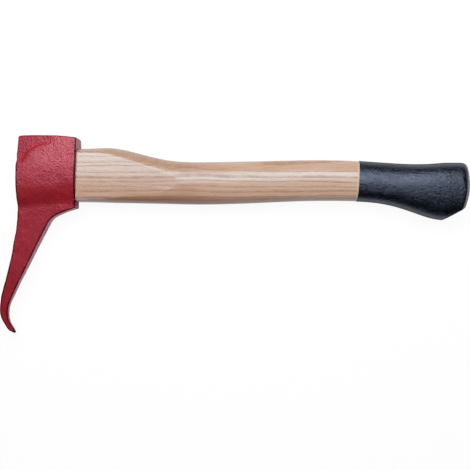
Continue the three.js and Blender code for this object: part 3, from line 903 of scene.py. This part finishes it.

# %% [markdown]
# ## Red paint
# The head is sprayed with one thick coat straight onto the forged skin, so that the marks of the hammer and the
# scale show through it, and the paint itself dries pebbled. The upper cheek on the handle's side is painted a
# lighter red, as painted light, and it is glossier there, while the pick is smoother. The slope round the struck
# corner is painted a purer red, as a painted glint. Edges and rounded rims are painted dark, as painted shade, the
# hollows get painted shade, the side faces a painted lilac reflection, and the lug under the handle a painted
# shadow. The edge at the eye's mouth is darker still. At the very point of the pick the steel is bare. The first
# cell gives the clouds of colour, and each of the next ones adds one of these things as a mask.

# %% Clouds of red
# Patches of the head: an axis, and the two places along it, in mm, where the mask is nothing and where full
LIT_UPPER_CHEEK = ("Y", -2.0, 12.0), ("X", -18.0, 4.0)
STRUCK_CORNER = ("X", 8.0, -6.0), ("Y", 5.0, 12.0)
SHADOW_UNDER_HANDLE = ("Y", -28.5, -26.5), ("Y", -22.0, -23.5), ("X", 22.5, 24.5)
FOLD = ("Y", -20.0, -24.0), ("Y", -38.0, -31.0)
GLOSSY_ABOVE = (-24.0, -12.0)
EYE_MOUTH = (24.6, 25.2)
BARE_POINT_X, BARE_POINT_Y = (-31.6, -30.9), (-136.0, -137.2)
paint, tree, shader = new_finish("red_paint", (0.33, 0.03, 0.04))
broad = use_group(tree, clouds, Size=14.0, Detail=2.0)["Value"]
small = use_group(tree, clouds, Size=2.2, Detail=4.0)["Value"]
place = place_in_mm(tree)
facing = faces_along(tree, "Z")
# painted light: the upper cheek on the handle's side is painted a lighter red, and the same mask makes it glossier
thick = where(tree, place, *LIT_UPPER_CHEEK)
colour = blend(tree, broad, (0.295, 0.011, 0.018), (0.25, 0.009, 0.015))
colour = cover(tree, colour, small, 0.5, (0.34, 0.013, 0.019))
colour = cover(tree, colour, thick, 0.45, (0.42, 0.014, 0.028))
print("thick and thin paint:", len(tree.nodes), "nodes")

# %% The struck corner, and a painted glint on its slope
across = maths(tree, "DIVIDE", maths(tree, "SUBTRACT", place["X"], RELIEF_MIDDLE[0]), RELIEF_RUN)
upwards = maths(tree, "DIVIDE", maths(tree, "SUBTRACT", place["Y"], RELIEF_MIDDLE[1]), RELIEF_RISE)
from_middle = distance(tree, across, upwards)
corner = where(tree, place, *STRUCK_CORNER)
outside = times(tree, corner, between(tree, from_middle, 0.98, 1.08))
slope = times(tree, corner, between(tree, from_middle, RELIEF_FROM, 0.93))
slope = times(tree, slope, between(tree, from_middle, RELIEF_TO, 1.02))
# painted glint: the slope round the struck corner is painted a purer, brighter red
colour = cover(tree, colour, slope, 0.5, (0.40, 0.007, 0.012))
print("with the corner:", len(tree.nodes), "nodes")

# %% Painted shade on edges, rims and hollows, a painted reflection, a painted shadow, and the bare point
edge_and_hollow_masks = use_group(tree, edges, Width=0.02, Ragged=0.8, Size=1.6)
# rounded rims of the faces are painted dark together with the edges, as painted shade
rounded = times(tree, between(tree, facing, 0.86, 0.76), between(tree, facing, 0.04, 0.22))
painted_dark_rims = maths(tree, "MAXIMUM", edge_and_hollow_masks["Edge"], rounded)
on_side = between(tree, facing, 0.2, 0.05)
at_mouth = between(tree, times_plus(tree, small, 1.5, place["X"]), *EYE_MOUTH)
painted_shadow_under_handle = where(tree, place, *SHADOW_UNDER_HANDLE)
dark_mouth_and_painted_shadow = maths(tree, "MAXIMUM", times(tree, edge_and_hollow_masks["Edge"], at_mouth), painted_shadow_under_handle)
bare = between(tree, times_plus(tree, small, 0.8, place["X"]), *BARE_POINT_X)
bare = times(tree, bare, between(tree, place["Y"], *BARE_POINT_Y))
# painted reflection: faces that look sideways are painted towards lilac
colour = blend(tree, on_side, colour, (0.29, 0.012, 0.038))
# painted shade: edges and rounded rims are painted dark
colour = cover(tree, colour, painted_dark_rims, 0.8, (0.16, 0.007, 0.016))
# painted shade: the hollows are painted darker
colour = cover(tree, colour, edge_and_hollow_masks["Hollow"], 0.5, (0.15, 0.006, 0.010))
# painted shadow: the lug's end face under the handle is painted almost black, and so is the edge at the eye's
# mouth
colour = blend(tree, dark_mouth_and_painted_shadow, colour, (0.05, 0.003, 0.007))
colour = blend(tree, bare, colour, (0.03, 0.024, 0.024))
# the painted dark rims and the painted shadow are also made metallic
feed(shader, {"Base Color": colour, "Metallic": times(tree, maths(tree, "MAXIMUM", painted_dark_rims, painted_shadow_under_handle), 0.85)})
print("with the edges:", len(tree.nodes), "nodes")

# %% Gloss and skin of the paint
glossy = times(tree, times_plus(tree, thick, 0.36, 0.12), between(tree, facing, 0.7, 0.92))
glossy = times(tree, glossy, between(tree, place["Y"], *GLOSSY_ABOVE))
glossy = times(tree, glossy, between(tree, slope, 1.0, 0.0, 0.35, 1.0))
dull = use_group(tree, clouds, Size=4.0, Detail=3.0, Least=0.36, Most=0.46)["Value"]
skin = use_group(tree, pebbles, Size=1.1, Wander=1.3)["Height"]
pits = use_group(tree, clouds, Size=2.2, Detail=3.0)["Value"]
relief = times_plus(tree, pits, 1.2, skin)
relief = times(tree, relief, between(tree, place["Y"], -50.0, -5.0, 0.35, 1.0))
relief = times(tree, relief, between(tree, place["X"], -18.0, 12.0, 0.75, 1.15))
for rough_patch, more in ((where(tree, place, *FOLD), 1.2), (outside, 1.4)):
    relief = times(tree, relief, times_plus(tree, rough_patch, more, 1.0))
bump = bump_of(tree, relief, 0.65, 0.13)
feed(shader, {
    "Roughness": times_plus(tree, between(tree, facing, 0.5, 0.1), 0.06, dull),
    "Specular IOR Level": 0.85,
    "Specular Tint": (1.0, 0.33, 0.50, 1),
    "Coat Weight": times_plus(tree, on_side, 0.1, glossy),
    "Coat IOR": 1.5,
    "Coat Roughness": 0.14,
    "Normal": bump,
    "Coat Normal": bump,
})
dress(head, paint)

# %% [markdown]
# ## Hickory
# Wood is a stack of yearly rings. Each year starts with a thin dark line of large pores and ends in dense pale
# wood. The handle is split out along the trunk, so the rings run lengthwise and show as long, slightly wavy lines.
# The pattern is the distance from the middle of the tree, which lies below and beside the handle, bent a little
# by broad clouds and repeated every few millimetres. The turned faces beside the planed flats, the lower side of
# the handle and its lowest strip are painted darker, as painted shade, and a pale line is painted beside the dip.
# Where the surface faces along the handle, at the tenon's end, the wood is darker because it soaks up more oil.

# %% Growth rings
PITH = (0.0, 62.0, 34.0)  # what the middle of the tree is moved by, in mm
RING_SPACING = 3.1
wanted = {"Spacing": RING_SPACING, "Waviness": 5.0}
rings, given, result = new_group("growth_rings", wanted, ["Dark line", "Year"])
waves = {"Vector": in_mm(rings, (0.011, 0.045, 0.045)), "Scale": 1.0, "Detail": 4.0}
bend = maths(rings, "SUBTRACT", add(rings, "ShaderNodeTexNoise", waves).outputs[0], 0.5)
place = place_in_mm(rings, PITH)
from_pith = times_plus(rings, bend, given["Waviness"], distance(rings, place["Y"], place["Z"]))
years = maths(rings, "DIVIDE", from_pith, given["Spacing"])
uneven = add(rings, "ShaderNodeTexNoise", {"W": years, "Scale": 0.9}, noise_dimensions="1D").outputs[0]
years = maths(rings, "ADD", years, uneven)
part = maths(rings, "FRACT", years)
line = times(rings, between(rings, part, 0.0, 0.08), between(rings, part, 0.46, 0.12))
which = add(rings, "ShaderNodeTexWhiteNoise", {"W": maths(rings, "FLOOR", years)}, noise_dimensions="1D")
feed(result, {"Dark line": line, "Year": which.outputs["Value"]})

# %% Hickory with a satin oil finish
# Patches of the handle, written as the head's are. The turned faces are the ones beyond the flats.
TURNED_FROM = (10.6, 9.2)
TURNED_ENDS = (170.0, 100.0)
SHADED_LOWER_SIDE = ("Y", 0.0, -9.0), ("X", 200.0, 110.0)
SHADED_LOWEST_STRIP = (-18.0, -20.6)
PALE_LINE = (-1.7, -1.1)  # from the dip line
wood, tree, shader = new_finish("hickory", (0.58, 0.39, 0.29))
grain = use_group(tree, rings)
lines = use_group(tree, fibres)
patch = use_group(tree, clouds, Size=60.0, Detail=2.0)["Value"]
broken = use_group(tree, clouds, Size=11.0, Detail=3.0, Least=0.5, Most=1.0)["Value"]
place = place_in_mm(tree, (0, 0, -MIDDLE))
shaded_turned_faces = between(tree, maths(tree, "ABSOLUTE", place["Z"]), *TURNED_FROM)
shaded_turned_faces = times(tree, shaded_turned_faces, between(tree, place["X"], *TURNED_ENDS))
dark_line = times(tree, grain["Dark line"], times(tree, broken, times_plus(tree, shaded_turned_faces, -0.6, 1.0)))
pores = times(tree, lines["Pores"], times_plus(tree, grain["Dark line"], 0.6, 0.4))
to_dip = times_plus(tree, place["Y"], -COAT_SLOPE, place["X"])
at_dip = between(tree, to_dip, *(coat_edge + gap for gap in PALE_LINE))
end_grain = between(tree, faces_along(tree, "X"), 0.7, 0.95)
colour = blend(tree, patch, (0.66, 0.425, 0.30), (0.60, 0.375, 0.26))
colour = cover(tree, colour, grain["Year"], 0.4, (0.52, 0.33, 0.235))
colour = cover(tree, colour, lines["Streaks"], 0.6, (0.70, 0.49, 0.375))
colour = blend(tree, dark_line, colour, (0.45, 0.225, 0.115))
colour = blend(tree, pores, colour, (0.26, 0.14, 0.09))
# painted shade: the turned faces, the lower side and the lowest strip of the handle are darkened
colour = cover(tree, colour, shaded_turned_faces, 0.65, (0.74, 0.69, 0.64), "MULTIPLY")
colour = blend(tree, where(tree, place, *SHADED_LOWER_SIDE), colour, (0.91, 0.82, 0.75), "MULTIPLY")
colour = blend(tree, between(tree, place["Y"], *SHADED_LOWEST_STRIP), colour, (0.73, 0.68, 0.70), "MULTIPLY")
# a pale line painted on the wood beside the dip
colour = cover(tree, colour, at_dip, 0.6, (0.84, 0.68, 0.56))
colour = cover(tree, colour, end_grain, 0.75, (0.40, 0.22, 0.12))
dull = times_plus(tree, lines["Streaks"], 0.08, 0.22)
depth = times_plus(tree, lines["Pores"], -0.6, times(tree, lines["Streaks"], 0.4))
depth = times_plus(tree, grain["Dark line"], -0.3, depth)
feed(shader, {
    "Base Color": colour,
    "Roughness": times_plus(tree, grain["Dark line"], 0.1, dull),
    "Specular IOR Level": 0.95,
    "Specular Tint": (0.5, 0.82, 1.0, 1),
    "Normal": bump_of(tree, depth, 0.35, 0.06),
})
dress(handle, wood)

# %% Wood of the wedge
wedge_finish, tree, shader = new_finish("wedge_wood", (0.45, 0.28, 0.16))
pores = use_group(tree, fibres, Fineness=1.6)["Pores"]
patch = use_group(tree, clouds, Size=6.0, Detail=3.0)["Value"]
colour = blend(tree, patch, (0.52, 0.33, 0.19), (0.42, 0.25, 0.14))
feed(shader, {
    "Base Color": cover(tree, colour, pores, 0.7, (0.20, 0.10, 0.05)),
    "Roughness": times_plus(tree, patch, 0.1, 0.55),
    "Normal": bump_of(tree, pores, -0.4, 0.08),
})
dress(wedge, wedge_finish)

# %% Turned steel of the ring wedge
steel, tree, shader = new_finish("bare_steel", (0.55, 0.56, 0.58))
place = place_in_mm(tree, (0, 0, -MIDDLE))
turning = times_plus(tree, place["X"], 2.0, distance(tree, place["Y"], place["Z"]))
inputs = {"W": turning, "Scale": 5.0, "Detail": 3.0}
marks = add(tree, "ShaderNodeTexNoise", inputs, noise_dimensions="1D").outputs[0]
edge_and_hollow_masks = use_group(tree, edges, Width=0.08, Ragged=0.6, Size=1.5)
tint = blend(tree, marks, (0.42, 0.42, 0.43), (0.62, 0.62, 0.64))
feed(shader, {
    "Base Color": blend(tree, edge_and_hollow_masks["Edge"], tint, (0.75, 0.75, 0.76)),
    "Metallic": 1.0,
    "Roughness": between(tree, marks, 0.2, 0.8, 0.28, 0.45),
    "Normal": bump_of(tree, marks, 0.3, 0.04),
})
dress(ring, steel)

# %% [markdown]
# ## Black dipped plastic
# The dip dries to a matte black skin with a fine leathery grain. It has almost no colour of its own, and what
# shows is its sheen: a broad, soft, slightly blue shine along the top, broken up by the grain and by dull
# smudges. The hand wears the sides and the end of the foot duller than the top.

# %% Black dipped plastic
dip, tree, shader = new_finish("black_coating", (0.008, 0.009, 0.012))
smudge = use_group(tree, clouds, Size=9.0, Detail=4.0)["Value"]
edge_and_hollow_masks = use_group(tree, edges, Width=0.06, Ragged=0.8, Size=2.5)
colour = blend(tree, smudge, (0.0012, 0.0016, 0.0030), (0.0024, 0.0030, 0.0052))
flank = between(tree, faces_along(tree, "Z"), 0.6, 0.3)
dull = between(tree, smudge, 0.0, 1.0, 0.23, 0.31)
leather = use_group(tree, pebbles, Size=0.8, Wander=1.2, Drawn_out=2.2)["Height"]
feed(shader, {
    "Base Color": cover(tree, colour, edge_and_hollow_masks["Edge"], 0.5, (0.020, 0.021, 0.026)),
    "Roughness": times_plus(tree, flank, 0.35, dull),
    "Specular IOR Level": 1.0,
    "Specular Tint": (0.62, 0.72, 1.0, 1),
    "Normal": bump_of(tree, leather, 0.9, 0.22),
})
dress(grip, dip)

# %% [markdown]
# ## Floor and light
# The table is white. To the camera, and in reflections, it is a steady white that still takes the tool's soft
# shadow, and as a bounce of light it is plain white paper. One broad softbox hangs over the far side of the
# table, so that the top of the cheeks and the upper side of the grip shine softly. A weak fill on the near side
# lights the shade but isn't mirrored, and a faint card overhead gives the flat faces a little sheen.
# The surroundings are a pale sweep near the table and a dim room above it.

# %% White table
object_mode()
bpy.ops.mesh.primitive_plane_add(size=12, location=(0, 0, -0.2 * MM))
floor = named("table")
PAPER_WHITE = (0.8, 0.8, 0.8)
paper, tree, shader = new_finish("white_paper", PAPER_WHITE)
feed(shader, {"Base Color": (*PAPER_WHITE, 1), "Roughness": 0.9})
seen = add(tree, "ShaderNodeLightPath").outputs
mirrored = maths(tree, "MAXIMUM", seen["Is Glossy Ray"], seen["Is Transmission Ray"])
shown = maths(tree, "MAXIMUM", seen["Is Camera Ray"], mirrored)
steady = add(tree, "ShaderNodeEmission", {"Color": (1, 1, 1, 1), "Strength": 0.925}).outputs[0]
shaded = add(tree, "ShaderNodeBsdfDiffuse", {"Color": (0.09, 0.09, 0.09, 1)}).outputs[0]
white = add(tree, "ShaderNodeAddShader", {0: steady, 1: shaded}).outputs[0]
surface = add(tree, "ShaderNodeMixShader", {0: shown, 1: shader.outputs[0], 2: white}).outputs[0]
feed(tree.nodes["Material Output"], {"Surface": surface})
dress(floor, paper)

# %% Softbox and surroundings
def hang_softbox(name, place, width, depth, power):
    light = bpy.data.lights.new(name, "AREA")
    light.shape = "RECTANGLE"
    light.size, light.size_y = width, depth
    light.energy = power
    lamp = bpy.data.objects.new(name, light)
    lamp.location = place
    bpy.context.scene.collection.objects.link(lamp)
    return lamp


hang_softbox("far_softbox", (0.13, 0.33, 0.75), width=0.92, depth=0.56, power=7.7)
fill = hang_softbox("near_fill", (0.17, -0.45, 0.80), width=1.0, depth=0.6, power=1.6)
fill.visible_glossy = False
hang_softbox("overhead_card", (0.17, -0.09, 0.86), width=1.0, depth=0.3, power=0.25)

room = bpy.data.worlds.new("room")
bpy.context.scene.world = room
room.use_nodes = True
tree = room.node_tree
up = add(tree, "ShaderNodeSeparateXYZ", {0: add(tree, "ShaderNodeTexCoord").outputs["Generated"]}).outputs["Z"]
sweep = between(tree, up, 0.09, 0.01)
feed(tree.nodes["Background"], {"Color": blend(tree, sweep, (0.018, 0.019, 0.021), (0.95, 0.97, 1.0))})
bpy.context.scene.view_settings.view_transform = "Standard"
